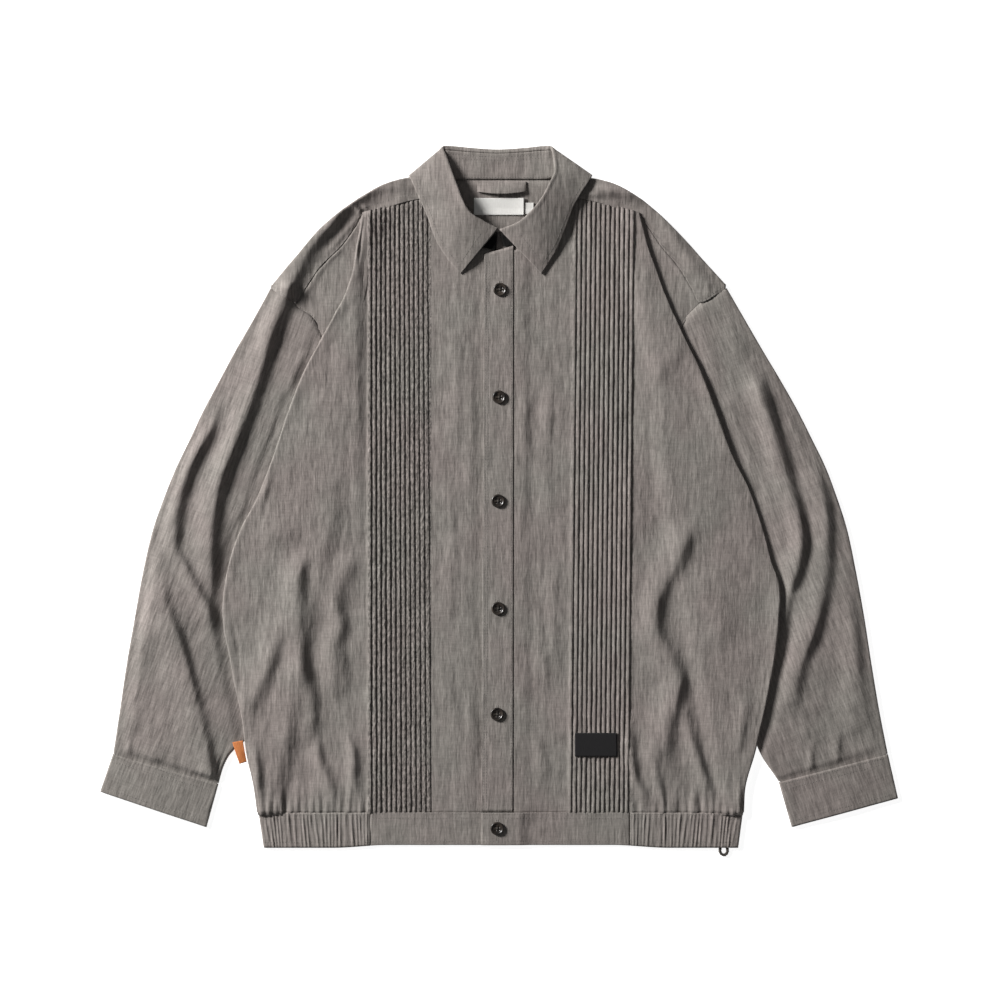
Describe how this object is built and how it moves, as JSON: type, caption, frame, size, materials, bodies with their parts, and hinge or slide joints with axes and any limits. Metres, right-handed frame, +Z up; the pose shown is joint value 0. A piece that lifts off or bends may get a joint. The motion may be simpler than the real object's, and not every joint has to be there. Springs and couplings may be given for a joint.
{
  "type": "shirt jacket",
  "caption": "Button-front shirt jacket laid flat on its back, with a turned-down collar, pintuck strips, cuffed sleeves and a hem band gathered at the sides.",
  "frame": {"origin": "middle of the garment's outline, on the surface that it lies on", "axes": "+Z up from the surface, +Y from the hem to the collar, +X towards the wearer's left sleeve"},
  "size_m": [0.854, 0.761, 0.0168],
  "materials": {
    "cloth": "slubby plain weave, matt",
    "button": "polished dark horn effect",
    "label_white": "satin label tape",
    "label_black": "woven label tape, matt",
    "tab_orange": "woven tape, matt",
    "cord": "thin elastic cord"
  },
  "bodies": {
    "root": {"back": "cloth", "yoke": "cloth", "front_right": "cloth", "front_left": "cloth", "placket": "cloth", "collar_leaf": "cloth", "collar_stand": "cloth", "sleeve_right": "cloth", "sleeve_left": "cloth", "cuff_right": "cloth", "cuff_left": "cloth", "hem_band_right": "cloth", "hem_band_left": "cloth", "hem_band_elastic": "cloth", "hanger_loop": "cloth", "button_1": "button", "button_2": "button", "button_3": "button", "button_4": "button", "button_5": "button", "button_6": "button", "neck_label": "label_white", "size_tab": "label_white", "front_label": "label_black", "side_tab": "tab_orange", "hem_loop": "cord"}
  },
  "joints": []
}
